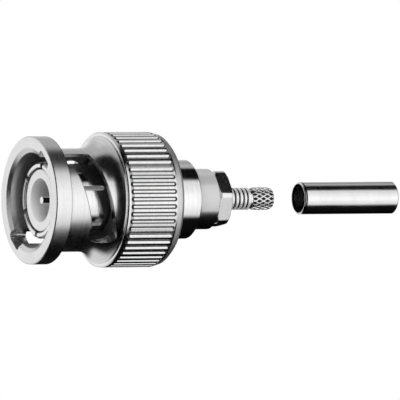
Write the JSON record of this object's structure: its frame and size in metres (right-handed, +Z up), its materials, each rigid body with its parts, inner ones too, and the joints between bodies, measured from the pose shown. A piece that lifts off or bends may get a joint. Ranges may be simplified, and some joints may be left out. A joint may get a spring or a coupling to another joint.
{
  "type": "coaxial bayonet cable plug with crimp ferrule",
  "caption": "Bayonet-locking coaxial cable plug: slotted coupling nut with grooved grip, sprung outer contact, recessed pin, knurled crimp stem and a loose crimp ferrule.",
  "frame": {"origin": "on the plug's axis, at the front face of the coupling nut", "axes": "+X along the axis towards the cable, +Z up, -Y the side towards the viewer in the picture"},
  "size_m": [0.0421, 0.014, 0.014],
  "materials": {
    "nut_plating": "bright nickel plate on brass",
    "body_plating": "bright nickel plate on brass",
    "stem_plating": "nickel plate on brass",
    "ferrule_plating": "bright nickel plate on annealed copper alloy",
    "contact_plating": "bright plate on a sprung copper alloy",
    "pin_plating": "bright plate on brass",
    "washer_plating": "satin nickel plate on brass",
    "spring_steel": "plain spring steel",
    "white_insulator": "satin white fluoropolymer",
    "gasket_rubber": "soft dark silicone"
  },
  "bodies": {
    "plug": {"main_body": "body_plating", "face_gasket": "gasket_rubber", "outer_contact": "contact_plating", "front_insulator": "white_insulator", "centre_contact": "pin_plating", "rear_insulator": "white_insulator", "crimp_stem": "stem_plating", "wave_washer": "spring_steel"},
    "thrust": {"thrust_washer": "washer_plating"},
    "nut": {"coupling_nut": "nut_plating", "retaining_ring": "spring_steel"},
    "ferrule": {"crimp_ferrule": "ferrule_plating"}
  },
  "joints": [
    {"name": "nut_draw", "type": "slide", "parent": "plug", "child": "thrust", "axis": [-1, 0, 0], "range_m": [0, 0.0007], "stiffness_N_per_m": 200, "springref_m": -0.002, "deforming": ["wave_washer"]},
    {"name": "nut_turn", "type": "hinge", "parent": "thrust", "child": "nut", "pos_m": [0, 0, 0], "axis": [-1, 0, 0], "continuous": true},
    {"name": "ferrule_slide", "type": "slide", "parent": "plug", "child": "ferrule", "axis": [-1, 0, 0], "range_m": [0, 0.0089]}
  ]
}
